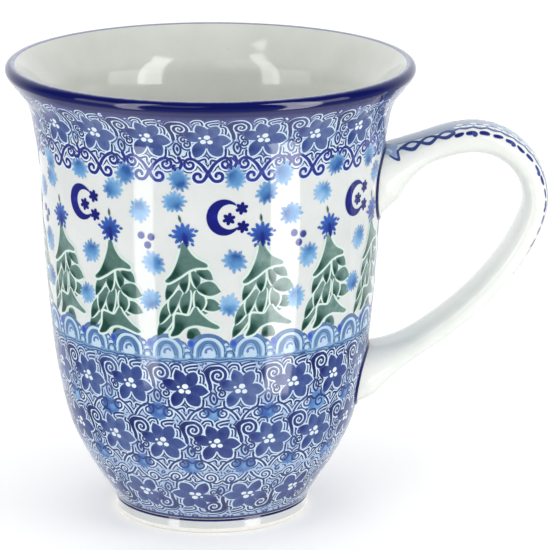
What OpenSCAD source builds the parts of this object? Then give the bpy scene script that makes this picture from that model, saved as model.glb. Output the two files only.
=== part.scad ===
// Flared stoneware mug: a turned cup on a low foot ring, with a strap handle.
// Each root of the handle is bedded on the wall in a thin pad of slip.
// The origin is the centre of the foot's underside. +Z is up, and the handle lies
// towards +X.

/* [Cup] */
// Height from the table to the top of the lip
cup_h = 127; // [124:0.5:130]
// Diameter over the flared lip
lip_d = 112; // [110:0.5:114]
// Diameter of the throat, where the flare starts
throat_d = 96.8; // [95:0.2:99]
// Diameter halfway up the side
side_d = 91.8; // [90:0.2:94]
// Diameter of the hip, where the bowl turns up into the side
hip_d = 79.4; // [77:0.2:82]
// Thickness of the wall, measured level
wall_t = 4.6; // [4:0.1:5.4]
// Slope of the flare at the lip, from upright
flare_angle = 31; // [26:1:36]
// Thickness of the floor
floor_t = 6; // [5:0.5:8]
// Radius of the corner between the floor and the bowl, inside
floor_corner = 8; // [5:0.5:10]

/* [Foot] */
// Outside diameter of the foot ring
foot_d = 53.6; // [51:0.2:56]
// Height of the foot ring
foot_h = 4.2; // [3:0.1:5]
// Width of the foot ring
foot_w = 5; // [4:0.2:6]
// Depth of the recess inside the foot ring
recess_depth = 2.4; // [1.5:0.1:3]
// Radius of the foot ring's lower edges
foot_edge = 0.8; // [0.4:0.1:1.2]

/* [Handle] */
// Distance from the cup's axis to the farthest point of the strap's centreline
handle_reach = 89.2; // [86:0.1:92]
// Height of the strap's centreline at its crest
crest_z = 106; // [104:0.2:108]
// Height of the upper root's centre on the wall
upper_root_z = 94.6; // [92:0.2:96]
// Height of the lower root's centre on the wall
lower_root_z = 39.2; // [36:0.2:42]
// Radius of the turn between the crest and the far side
turn_r = 17.2; // [15:0.2:19]
// Thickness of the strap at its crest
crest_t = 8; // [7:0.1:9]
// Thickness of the strap from its far side down
strap_t = 7; // [6:0.1:8]
// Width of the strap
strap_w = 18; // [15:0.5:20]
// Extra thickness of the strap where it meets the wall
flare_t = 8.4; // [7:0.2:10]
// Extra width of the strap where it meets the wall
flare_w = 5; // [2:0.5:7]
// Distance from the wall over which the strap flares
flare_reach = 14; // [11:0.5:17]

/* [Luting seams] */
// Thickness of the slip between the handle and the wall
slip_t = 0.6; // [0.4:0.1:1]
// How far the slip squeezes out past the root
bead_w = 1.1; // [0.6:0.1:1.6]

/* [Hidden] */
$fn = 96;

// --- The cup's outline ---
lip_round = wall_t * cos(flare_angle) / 2;
lip_centre = [lip_d / 2 - lip_round, cup_h - lip_round];
wall_top = lip_centre + lip_round * [cos(flare_angle), -sin(flare_angle)];
inner_top_z = lip_centre.y + lip_round * sin(flare_angle);
floor_z = recess_depth + floor_t;
wall_steps = 40;
edge_steps = 5;
lip_steps = 12;

function mix(a, b, t) = a + (b - a) * t;

// Stations up the outside of the wall, as [height, radius]
stations = [
    [foot_h, foot_d / 2],
    [0.142 * cup_h, 0.89 * hip_d / 2],
    [0.22 * cup_h, hip_d / 2],
    [0.37 * cup_h, mix(hip_d, side_d, 0.6) / 2],
    [0.59 * cup_h, side_d / 2],
    [0.77 * cup_h, mix(side_d, throat_d, 0.45) / 2],
    [0.856 * cup_h, throat_d / 2],
    [0.921 * cup_h, mix(throat_d, lip_d, 0.25) / 2],
    [wall_top.y, wall_top.x],
];
last = len(stations) - 1;

// Slope of the wall at station i
function slope(i) =
    let (a = stations[max(i - 1, 0)], b = stations[min(i + 1, last)])
    i == last ? tan(flare_angle) : (b.y - a.y) / (b.x - a.x);

// Cubic from value a with slope sa to value b with slope sb, over a length l
function cubic(t, l, a, sa, b, sb) =
    a * (2 * t ^ 3 - 3 * t ^ 2 + 1) + l * sa * (t ^ 3 - 2 * t ^ 2 + t)
    + b * (3 * t ^ 2 - 2 * t ^ 3) + l * sb * (t ^ 3 - t ^ 2);

// Outside radius of the wall at height z, which runs straight on above the last station
function wall_r(z, i = 0) =
    z > wall_top.y ? wall_top.x + (z - wall_top.y) * tan(flare_angle)
    : i < last - 1 && z > stations[i + 1].x ? wall_r(z, i + 1)
    : let (a = stations[i], b = stations[i + 1], l = b.x - a.x)
      cubic((z - a.x) / l, l, a.y, slope(i), b.y, slope(i + 1));

// Inside radius of the wall at height z, with its rounded corner at the floor
function inner_r(z) =
    let (down = max(0, 1 - (z - floor_z) / floor_corner))
    wall_r(z) - wall_t - floor_corner * (1 - sqrt(1 - down ^ 2));

// Points along an arc about centre c, both ends included
function arc(c, r, from, to, steps) =
    [for (i = [0:steps]) let (a = from + (to - from) * i / steps) c + r * [cos(a), sin(a)]];

outer_line = [for (i = [0:wall_steps])
    let (z = foot_h + (wall_top.y - foot_h) * i / wall_steps) [wall_r(z), z]];
// The heights inside crowd towards the floor, to round its corner
inner_line = [for (i = [wall_steps:-1:0])
    let (z = floor_z + (inner_top_z - floor_z) * (i / wall_steps) ^ 1.6) [inner_r(z), z]];
lip_line = arc(lip_centre, lip_round, -flare_angle, 180 - flare_angle, lip_steps);

module cup_outline() {
    inner_edge = [foot_d / 2 - foot_w + foot_edge, foot_edge];
    outer_edge = [foot_d / 2 - foot_edge, foot_edge];
    polygon(concat(
        [[0, recess_depth], [foot_d / 2 - foot_w, recess_depth]],
        arc(inner_edge, foot_edge, -180, -90, edge_steps),
        arc(outer_edge, foot_edge, -90, 0, edge_steps),
        outer_line,
        [for (i = [1:lip_steps - 1]) lip_line[i]],
        inner_line,
        [[0, floor_z]]
    ));
}

module cup_body() {
    color("ivory")
        rotate_extrude() cup_outline();
}

// --- The handle's centreline, as [x, z], in three curves joined end to end ---
// Both ends run on inside the cup, where the wall's outside cuts them off
root_run = 13;
crest = [handle_reach - turn_r, crest_z];
far_side = [handle_reach, crest_z - turn_r];
round_pull = 0.55 * turn_r;
upper_root = [wall_r(upper_root_z), upper_root_z];
lower_root = [wall_r(lower_root_z), lower_root_z];
curves = [
    [upper_root - [root_run, 14], upper_root + [0.5, 7.4], crest - [6, 0], crest],
    [crest, crest + [round_pull, 0], far_side + [0, round_pull], far_side],
    [far_side, far_side - [0, 8.8], lower_root + [33, 11.7], lower_root - [root_run, 4.5]],
];
curve_steps = [13, 8, 18];

function bezier(c, t) =
    (1 - t) ^ 3 * c[0] + 3 * (1 - t) ^ 2 * t * c[1] + 3 * (1 - t) * t ^ 2 * c[2] + t ^ 3 * c[3];
function bezier_way(c, t) =
    let (d = (1 - t) ^ 2 * (c[1] - c[0]) + 2 * (1 - t) * t * (c[2] - c[1]) + t ^ 2 * (c[3] - c[2]))
    d / norm(d);

// Thickness of the strap along curve k, before it flares
function plain_t(k, t) = k == 0 ? crest_t : k == 1 ? crest_t + (strap_t - crest_t) * t : strap_t;

// One ring of the strap, grown by g all round
sides = 24;
squareness = 0.86;
function bulge(v) = sign(v) * abs(v) ^ squareness;
function ring(k, t, g) =
    let (
        p = bezier(curves[k], t),
        way = bezier_way(curves[k], t),
        gap = max(0, p.x - wall_r(p.y)),
        flare = max(0, 1 - gap / flare_reach) ^ 2,
        half_t = (plain_t(k, t) + flare_t * flare) / 2 + g,
        half_w = (strap_w + flare_w * flare) / 2 + g
    )
    [for (i = [0:sides - 1])
        let (a = 360 * i / sides, u = half_t * bulge(cos(a)), v = half_w * bulge(sin(a)))
        [p.x - way.y * u, v, p.y + way.x * u]];

// The strap swept along curves from_k to to_k, grown by g
module strap(from_k, to_k, g = 0) {
    rings = [for (k = [from_k:to_k])
        for (i = [(k == from_k ? 0 : 1):curve_steps[k]]) ring(k, i / curve_steps[k], g)];
    n = len(rings);
    polyhedron(
        [for (r = rings) each r],
        concat(
            [[for (i = [sides - 1:-1:0]) i]],
            [for (j = [0:n - 2]) for (i = [0:sides - 1])
                let (a = j * sides + i, b = j * sides + (i + 1) % sides)
                [a, b, b + sides, a + sides]],
            [[for (i = [0:sides - 1]) (n - 1) * sides + i]]
        )
    );
}

// Everything within the cup's outside, grown level by g
module wall_envelope(g = 0) {
    rotate_extrude()
        polygon(concat(
            [[0, foot_h]],
            [for (p = outer_line) p + [g, 0]],
            [[0, wall_top.y]]
        ));
}

module handle() {
    color("aliceblue")
        difference() {
            strap(0, 2);
            wall_envelope(slip_t);
        }
}

// --- The luting seams ---
// A pad of slip under the root that ends curve k
module luting_seam(k) {
    color("midnightblue")
        intersection() {
            strap(k, k, bead_w);
            difference() {
                wall_envelope(slip_t);
                wall_envelope();
            }
        }
}

module upper_luting_seam() { luting_seam(0); }
module lower_luting_seam() { luting_seam(2); }

cup_body();
handle();
upper_luting_seam();
lower_luting_seam();
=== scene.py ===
"""Looks of a hand-painted stoneware mug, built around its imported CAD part.

The cup is turned again at a finer pitch, from radii measured on its CAD node. The handle is
swept again by part.scad's formula and sizes, and only its reach and crest are measured. The
painting is drawn as flat shapes in millimetres, and laid on the surfaces as thin skins that
stand a few hundredths of a millimetre off them.
"""

import math

import bpy
import numpy as np
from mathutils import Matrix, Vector
from mathutils.bvhtree import BVHTree
from mathutils.geometry import delaunay_2d_cdt
from mathutils.kdtree import KDTree


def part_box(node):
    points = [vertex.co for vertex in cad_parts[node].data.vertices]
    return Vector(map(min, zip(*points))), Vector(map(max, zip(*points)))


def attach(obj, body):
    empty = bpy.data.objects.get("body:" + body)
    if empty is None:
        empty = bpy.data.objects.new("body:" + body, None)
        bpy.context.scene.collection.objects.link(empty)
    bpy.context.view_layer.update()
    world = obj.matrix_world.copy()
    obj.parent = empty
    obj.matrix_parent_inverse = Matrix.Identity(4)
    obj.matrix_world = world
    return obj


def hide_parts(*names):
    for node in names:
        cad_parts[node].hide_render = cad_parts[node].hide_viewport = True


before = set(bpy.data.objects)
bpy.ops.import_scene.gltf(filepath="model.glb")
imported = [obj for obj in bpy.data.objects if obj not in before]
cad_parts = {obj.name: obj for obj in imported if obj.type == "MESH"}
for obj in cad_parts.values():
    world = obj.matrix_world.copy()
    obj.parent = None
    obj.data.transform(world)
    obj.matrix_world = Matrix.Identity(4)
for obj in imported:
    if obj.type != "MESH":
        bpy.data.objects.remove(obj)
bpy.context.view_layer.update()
MM = 0.001
rng = np.random.default_rng(27)

# How far each layer of paint stands off the surface, in mm
WASH, ECHO, HALOS, CURLS, LINES = 0.02, 0.03, 0.04, 0.05, 0.06
PETALS, DOTS, STARS, STAR_DABS = 0.075, 0.09, 0.1, 0.115
# Steps in mm that keep a shape over or under others near its layer
OVER_WASH, OVER_LINES, OVER_HALOS = 0.004, 0.005, 0.006
# Points round the cup's turned mesh, and round the bands painted on it
CUP_SIDES, BAND_SIDES = 288, 360


# --- camera and light ---

def add_object(name, data):
    """An object in the scene that holds a mesh, a lamp or a camera."""
    made = bpy.data.objects.new(name, data)
    bpy.context.scene.collection.objects.link(made)
    return made


def add_camera():
    """The viewing angle of a product photograph: long lens, 15 degrees above level."""
    distance, rise, roll = 0.9975, math.radians(14.96), math.radians(-0.1)
    target = Vector((0.0172, 0, 0.0664))
    back = Vector((0, -math.cos(rise), math.sin(rise)))
    camera = add_object("camera", bpy.data.cameras.new("camera"))
    camera.location = target + back * distance
    camera.rotation_euler = (math.pi / 2 - rise, roll, 0)
    camera.data.lens = 235.6
    camera.data.sensor_width = 36
    camera.data.clip_start = 0.05
    bpy.context.scene.camera = camera


def add_softbox(name, azimuth, distance, height, size, radiance, aim=0.07, gloss_only=False):
    """A softbox that faces the mug, azimuth degrees from the front towards +X."""
    lamp = bpy.data.lights.new(name, "AREA")
    lamp.shape = "RECTANGLE"
    lamp.size, lamp.size_y = size
    lamp.energy = radiance * math.pi * size[0] * size[1]
    lamp.color = (1.0, 0.99, 0.975)
    box = add_object(name, lamp)
    a = math.radians(azimuth)
    box.location = (distance * math.sin(a), -distance * math.cos(a), height)
    box.rotation_euler = (Vector((0, 0, aim)) - box.location).to_track_quat("-Z", "Y").to_euler()
    box.visible_camera = False
    box.visible_diffuse = not gloss_only


def add_lights():
    """Tall strips that show as streaks in the glaze, and soft lights from the sides and above."""
    add_softbox("strip_left", -44.5, 0.80, 0.52, (0.19, 1.85), 4.6, 0.52, gloss_only=True)
    add_softbox("strip_right", 49, 0.30, 0.24, (0.105, 0.72), 6.0, 0.24, gloss_only=True)
    add_softbox("side_left", -62, 0.9, 0.35, (0.5, 0.5), 1.5)
    add_softbox("side_right", 66, 0.9, 0.35, (0.5, 0.5), 2.2)
    add_softbox("key_light", -25, 0.9, 0.9, (0.7, 0.5), 0.8)


# --- materials ---

def linear(code):
    """Linear colour of a #rrggbb code."""
    parts = [int(code[i:i + 2], 16) / 255 for i in (1, 3, 5)]
    return tuple(c / 12.92 if c < 0.04045 else ((c + 0.055) / 1.055) ** 2.4 for c in parts) + (1,)


def new_material(name):
    """A material, its node tree and its main shader."""
    material = bpy.data.materials.new(name)
    material.use_nodes = True
    return material, material.node_tree, material.node_tree.nodes["Principled BSDF"]


def add_node(tree, kind, **values):
    """A node with its properties and its unlinked inputs set by name."""
    made = tree.nodes.new(kind)
    for key, value in values.items():
        if hasattr(made, key):
            setattr(made, key, value)
        else:
            made.inputs[key.replace("_", " ")].default_value = value
    return made


def noise(tree, size_mm, detail, rough=0.5):
    """Noise in the object's own space, with features about size_mm across."""
    place = add_node(tree, "ShaderNodeTexCoord")
    made = add_node(tree, "ShaderNodeTexNoise", Detail=detail, Roughness=rough)
    made.inputs["Scale"].default_value = 1 / (size_mm * MM)
    tree.links.new(place.outputs["Object"], made.inputs["Vector"])
    return made.outputs["Fac"]


def ramp(tree, value, stops):
    """Colours by value, from (place, colour) pairs."""
    made = tree.nodes.new("ShaderNodeValToRGB")
    made.color_ramp.elements[0].position, made.color_ramp.elements[0].color = stops[0]
    made.color_ramp.elements[1].position, made.color_ramp.elements[1].color = stops[-1]
    for place, colour in stops[1:-1]:
        made.color_ramp.elements.new(place).color = colour
    tree.links.new(value, made.inputs["Fac"])
    return made.outputs["Color"]


def mix(tree, factor, a, b):
    """a and b mixed by factor; each is a socket or a colour."""
    made = tree.nodes.new("ShaderNodeMix")
    made.data_type = "RGBA"
    for socket, value in ((made.inputs[0], factor), (made.inputs[6], a), (made.inputs[7], b)):
        if isinstance(value, bpy.types.NodeSocket):
            tree.links.new(value, socket)
        else:
            socket.default_value = value
    return made.outputs[2]


def math_node(tree, operation, a, b, clamp=False):
    """One arithmetic step; a and b are each a socket or a number."""
    made = tree.nodes.new("ShaderNodeMath")
    made.operation = operation
    made.use_clamp = clamp
    for socket, value in zip(made.inputs, (a, b)):
        if isinstance(value, bpy.types.NodeSocket):
            tree.links.new(value, socket)
        else:
            socket.default_value = value
    return made.outputs[0]


def reading(tree, name):
    """A number stored on the mesh's points."""
    return add_node(tree, "ShaderNodeAttribute", attribute_name=name).outputs["Fac"]


def add_bump(tree, shader, height, strength, depth_mm):
    """Makes a shader's surface uneven by a height."""
    bump = add_node(tree, "ShaderNodeBump", Strength=strength, Distance=depth_mm * MM)
    tree.links.new(height, bump.inputs["Height"])
    tree.links.new(bump.outputs["Normal"], shader.inputs["Normal"])


def glaze_gloss(tree, shader):
    """The clear glaze over everything: glossy, faintly rippled, and uneven in its shine."""
    shader.inputs["IOR"].default_value = 1.52
    rough = math_node(tree, "MULTIPLY_ADD", noise(tree, 9, 3), 0.09)
    rough.node.inputs[2].default_value = 0.035
    tree.links.new(rough, shader.inputs["Roughness"])
    broad = noise(tree, 16, 1)
    fine = math_node(tree, "MULTIPLY", noise(tree, 2.2, 2), 0.12)
    add_bump(tree, shader, math_node(tree, "ADD", broad, fine), 0.35, 0.12)


def white_glaze(name, light, shade):
    """White stoneware under clear glaze: cloudy, with a few fine iron specks."""
    material, tree, shader = new_material(name)
    clouds = ramp(tree, noise(tree, 22, 4, 0.6), [(0.3, linear(shade)), (0.7, linear(light))])
    speck = math_node(tree, "GREATER_THAN", noise(tree, 0.9, 1), 0.79)
    specked = mix(tree, math_node(tree, "MULTIPLY", speck, 0.35), clouds, linear("#8f8878"))
    tree.links.new(specked, shader.inputs["Base Color"])
    glaze_gloss(tree, shader)
    return material


def bare_clay(name):
    """The unglazed foot: matt and sandy, with warmer stains."""
    material, tree, shader = new_material(name)
    sand = noise(tree, 0.6, 4, 0.7)
    grain = ramp(tree, sand, [(0.3, linear("#e6e3de")), (0.65, linear("#f2f0ec"))])
    stain = mix(tree, math_node(tree, "MULTIPLY", noise(tree, 6, 3), 0.5), grain, linear("#e0dbd3"))
    tree.links.new(stain, shader.inputs["Base Color"])
    shader.inputs["Roughness"].default_value = 0.85
    add_bump(tree, shader, noise(tree, 0.45, 4, 0.7), 0.5, 0.1)
    return material


def paint(name, thin, body, deep, edge_mm):
    """Underglaze paint: thin at its edge, uneven inside, and deeper where it pooled.

    tone is each stamp's own load of paint, pool where the brush left more, and edge the
    distance in mm to the shape's outline, which softens over edge_mm.
    """
    unevenness, edge_thinning = 0.5, 0.45
    material, tree, shader = new_material(name)
    brushed = math_node(tree, "SUBTRACT", noise(tree, 2.4, 3, 0.6), 0.5)
    uneven = math_node(tree, "MULTIPLY", brushed, unevenness)
    stamped = math_node(tree, "ADD", reading(tree, "tone"), uneven)
    load = math_node(tree, "ADD", stamped, reading(tree, "pool"), clamp=True)
    colour = ramp(tree, load, [(0.0, linear(thin)), (0.45, linear(body)), (1.0, linear(deep))])
    into = math_node(tree, "DIVIDE", reading(tree, "edge"), edge_mm, clamp=True)
    soft = mix(tree, into, mix(tree, edge_thinning, colour, linear(thin)), colour)
    tree.links.new(soft, shader.inputs["Base Color"])
    glaze_gloss(tree, shader)
    return material


def floor_paper():
    """Pale seamless paper on a faint light table, which keeps the shadows soft."""
    material, tree, shader = new_material("floor_paper")
    tone = ramp(tree, noise(tree, 60, 2), [(0.3, linear("#fbfbfa")), (0.7, linear("#fdfdfc"))])
    tree.links.new(tone, shader.inputs["Base Color"])
    tree.links.new(tone, shader.inputs["Emission Color"])
    shader.inputs["Emission Strength"].default_value = 0.06
    shader.inputs["Roughness"].default_value = 0.7
    return material


def add_room():
    """A white room; the glaze shows its far wall and near floor, and a dim studio elsewhere."""
    world = bpy.data.worlds.new("room")
    world.use_nodes = True
    tree = world.node_tree
    room = tree.nodes["Background"]
    room.inputs["Color"].default_value = (1.0, 1.0, 0.995, 1)
    room.inputs["Strength"].default_value = 1.07
    way = add_node(tree, "ShaderNodeSeparateXYZ")
    tree.links.new(add_node(tree, "ShaderNodeTexCoord").outputs["Generated"], way.inputs[0])

    def fade(axis, low, high, start, stop):
        """Brightness by direction: start up to low along an axis, and stop beyond high."""
        made = add_node(tree, "ShaderNodeMapRange", From_Min=low, From_Max=high, To_Min=start, To_Max=stop)
        tree.links.new(way.outputs[axis], made.inputs["Value"])
        return made.outputs["Result"]

    horizon = fade("Z", -0.12, 0.06, 0.30, 0.10)
    beneath = fade("Z", -0.92, -0.45, 1.1, 0.0)
    behind = fade("Y", 0.25, 0.9, 0.0, 1.15)
    seen = add_node(tree, "ShaderNodeBackground", Color=(0.97, 0.98, 1.0, 1))
    total = math_node(tree, "MAXIMUM", math_node(tree, "MAXIMUM", horizon, beneath), behind)
    tree.links.new(total, seen.inputs["Strength"])
    choose = tree.nodes.new("ShaderNodeMixShader")
    tree.links.new(add_node(tree, "ShaderNodeLightPath").outputs["Is Glossy Ray"], choose.inputs["Fac"])
    tree.links.new(room.outputs[0], choose.inputs[1])
    tree.links.new(seen.outputs[0], choose.inputs[2])
    tree.links.new(choose.outputs[0], tree.nodes["World Output"].inputs["Surface"])
    bpy.context.scene.world = world
    bpy.context.scene.view_settings.view_transform = "Standard"


# --- the wall, as measured ---

def round_angles(count):
    """Angles all the way round, from 0."""
    return np.linspace(0, math.tau, count, endpoint=False)


def measured(tree, z, inside):
    """Radius of the cup in mm at height z mm; facets lie inside the true circle."""
    rays, off_seam, clear_of_cup = 24, 0.013, 0.2
    reach = []
    for a in round_angles(rays) + off_seam:
        way = Vector((math.cos(a), math.sin(a), 0))
        start = Vector((0, 0, z * MM)) + way * (0 if inside else clear_of_cup)
        hit = tree.ray_cast(start, way if inside else -way)[0]
        reach.append(math.hypot(hit.x, hit.y) / MM)
    return max(reach)


def hermite(x, y, at):
    """Smooth curve through (x, y), read at the places at."""
    slope = np.gradient(y, x)
    i = np.clip(np.searchsorted(x, at) - 1, 0, len(x) - 2)
    step = x[i + 1] - x[i]
    t = (at - x[i]) / step
    return (y[i] * (2 * t**3 - 3 * t**2 + 1) + step * slope[i] * (t**3 - 2 * t**2 + t)
            + y[i + 1] * (3 * t**2 - 2 * t**3) + step * slope[i + 1] * (t**3 - t**2))


class Wall:
    """Radius and slope by height, and height by distance along the wall, in mm."""

    def __init__(self, tree, low, high, inside, step):
        heights = np.linspace(low, high, int((high - low) / step))
        radii = np.array([measured(tree, z, inside) for z in heights])
        pitch = 0.2
        self.z = np.arange(low, high, pitch)
        self.r = hermite(heights, radii, self.z)
        self.slope = np.gradient(self.r, self.z)
        run = np.hypot(np.diff(self.z), np.diff(self.r))
        self.along = np.concatenate([[0], np.cumsum(run)])

    def radius(self, z):
        """Radius at height z."""
        return np.interp(z, self.z, self.r)

    def lean(self, z):
        """Growth of the radius with height at height z."""
        return np.interp(z, self.z, self.slope)

    def height(self, start, up):
        """Height reached by going up mm along the wall from height start."""
        return np.interp(np.interp(start, self.z, self.along) + up, self.along, self.z)


cup_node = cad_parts["cup_body"]
cup_tree = BVHTree.FromObject(cup_node, bpy.context.evaluated_depsgraph_get())
cup_points = np.array([v.co for v in cup_node.data.vertices]) / MM
cup_radii = np.hypot(cup_points[:, 0], cup_points[:, 1])
TOP_Z = cup_points[:, 2].max()
RIM_R = cup_radii.max()
# Rays down and up beside the axis find the floor and the recess under the foot
FLOOR_Z = cup_tree.ray_cast(Vector((0.001, 0.002, 0.06)), Vector((0, 0, -1)))[0].z / MM
RECESS_Z = cup_tree.ray_cast(Vector((0.001, 0.002, -0.01)), Vector((0, 0, 1)))[0].z / MM
flat = cup_radii[cup_points[:, 2] < 0.01]
FLAT_IN, FLAT_OUT = flat.min(), flat.max()
# Radius of the foot ring's lower edges, as in part.scad
FOOT_EDGE = 0.8
FOOT_H = cup_points[abs(cup_radii - FLAT_OUT - FOOT_EDGE) < 0.03, 2].max()

# The walls are measured up to this far below the top of the lip
LIP_DROP = 3.2
outside = Wall(cup_tree, FOOT_H + 0.05, TOP_Z - LIP_DROP, False, 3.0)
inside = Wall(cup_tree, FLOOR_Z + 0.15, TOP_Z - LIP_DROP, True, 1.5)


# --- meshes ---

def build_mesh(name, points, faces, materials, face_material=None, normals=None, values=None):
    """A smooth-shaded piece from points in mm, riding on the mug."""
    mesh = bpy.data.meshes.new(name)
    faces = np.asarray(faces)
    sides = faces.shape[1]
    mesh.vertices.add(len(points))
    mesh.vertices.foreach_set("co", (np.asarray(points, float) * MM).ravel())
    mesh.loops.add(faces.size)
    mesh.loops.foreach_set("vertex_index", faces.ravel())
    mesh.polygons.add(len(faces))
    mesh.polygons.foreach_set("loop_start", np.arange(0, faces.size, sides))
    for material in materials:
        mesh.materials.append(material)
    if face_material is not None:
        mesh.polygons.foreach_set("material_index", np.asarray(face_material, int))
    mesh.update(calc_edges=True)
    mesh.shade_smooth()
    for key, numbers in (values or {}).items():
        mesh.attributes.new(key, "FLOAT", "POINT").data.foreach_set("value", np.asarray(numbers, float))
    if normals is not None:
        mesh.normals_split_custom_set_from_vertices(np.asarray(normals).tolist())
    piece = add_object(name, mesh)
    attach(piece, "root")
    return piece


def grid_faces(rows, columns, wrap=True):
    """Quads of a grid of points stored row by row; columns close on themselves if wrap."""
    j, i = np.meshgrid(np.arange(rows - 1), np.arange(columns if wrap else columns - 1), indexing="ij")
    a = (j * columns + i).ravel()
    b = (j * columns + (i + 1) % columns).ravel()
    return np.stack([a, b, b + columns, a + columns], axis=1)


def split(quads):
    """The quads, each as two triangles."""
    return np.concatenate([quads[:, [0, 1, 2]], quads[:, [0, 2, 3]]])


def turned(outline):
    """Points and quads of an outline of (radius, height) turned about the axis."""
    r, z = np.array(outline).T
    a = round_angles(CUP_SIDES)
    points = np.stack([np.outer(r, np.sin(a)), -np.outer(r, np.cos(a)),
                       np.outer(z, np.ones(CUP_SIDES))], axis=2)
    return points.reshape(-1, 3), grid_faces(len(outline), CUP_SIDES)


def arc(centre, radius, start, stop, steps):
    """Points (radius, height) of an arc, in degrees from outwards towards up."""
    a = np.radians(np.linspace(start, stop, steps))
    return [(centre[0] + radius * math.cos(t), centre[1] + radius * math.sin(t)) for t in a]


LEAN_TOP = math.degrees(math.atan(float(outside.lean(outside.z[-1]))))
# A height beside the throat, where the wall's level thickness is read
PLAIN_Z = 110
WALL_T = outside.radius(PLAIN_Z) - inside.radius(PLAIN_Z)
LIP_ROUND = WALL_T * math.cos(math.radians(LEAN_TOP)) / 2
LIP_CENTRE = (RIM_R - LIP_ROUND, TOP_Z - LIP_ROUND)
LIP_START = -LEAN_TOP


def lip_outline(start, stop, steps):
    """Points (radius, height) round the lip, between two angles in degrees."""
    return arc(LIP_CENTRE, LIP_ROUND, start, stop, steps)


def cup_outline():
    """The cup's section, from the axis underneath round the foot and the lip to the axis inside.

    Also gives the number of its points, from the first, that may be bare clay.
    """
    axis_gap = 0.02
    foot_in, foot_out = FLAT_IN - FOOT_EDGE, FLAT_OUT + FOOT_EDGE
    under = [(r, RECESS_Z) for r in np.linspace(axis_gap, foot_in - 1, 8)]
    under += arc((foot_in - 1, RECESS_Z - 1), 1, 90, 10, 5)
    ring = arc((foot_in + FOOT_EDGE, FOOT_EDGE), FOOT_EDGE, 180, 270, 6)
    ring += [(r, 0) for r in np.linspace(FLAT_IN + 0.5, FLAT_OUT - 0.5, 4)]
    ring += arc((foot_out - FOOT_EDGE, FOOT_EDGE), FOOT_EDGE, -90, 0, 6)
    bare_rows = len(under) + len(ring)
    ring += [(foot_out, z) for z in (1.4, 2.2, 3.0, 3.6)]
    wall_low = outside.z[0] + 0.35
    heights = np.linspace(wall_low, outside.z[-1], 150)
    wall = [(float(outside.radius(z)), z) for z in heights]
    lip = lip_outline(LIP_START, 180 - LEAN_TOP, 22)
    down = FLOOR_Z + (inside.z[-1] - FLOOR_Z) * np.linspace(1, 0, 90) ** 1.5
    bowl = [(float(inside.radius(z)), z) for z in down if z > inside.z[0]]
    floor = [(r, FLOOR_Z) for r in np.linspace(bowl[-1][0] - 0.8, axis_gap, 14)]
    return under + ring + wall + lip[1:-1] + bowl + floor, bare_rows


def make_cup():
    """The turned cup: glazed, bare under its foot, and painted shade inside: a darker, warmer copy of its
    white glaze.
    """
    bare_height = 1.2
    outline, bare_rows = cup_outline()
    points, faces = turned(outline)
    heights = points[faces[:, 0], 2]
    rows = faces[:, 0] // CUP_SIDES
    bare = (rows < bare_rows) & (heights < bare_height)
    inner = rows > np.argmax([p[1] for p in outline])
    # The inside glaze is the same white glaze made darker: painted shade inside the cup.
    piece = build_mesh("cup", points, faces,
                       [white_glaze("cup_glaze", "#d4d7d7", "#cacecd"), bare_clay("bare_foot"),
                        white_glaze("inside_glaze_painted_shade", "#cfd1cc", "#c3c5c0")],
                       np.where(bare, 1, np.where(inner, 2, 0)))
    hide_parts("cup_body")


# --- the handle ---

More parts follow.
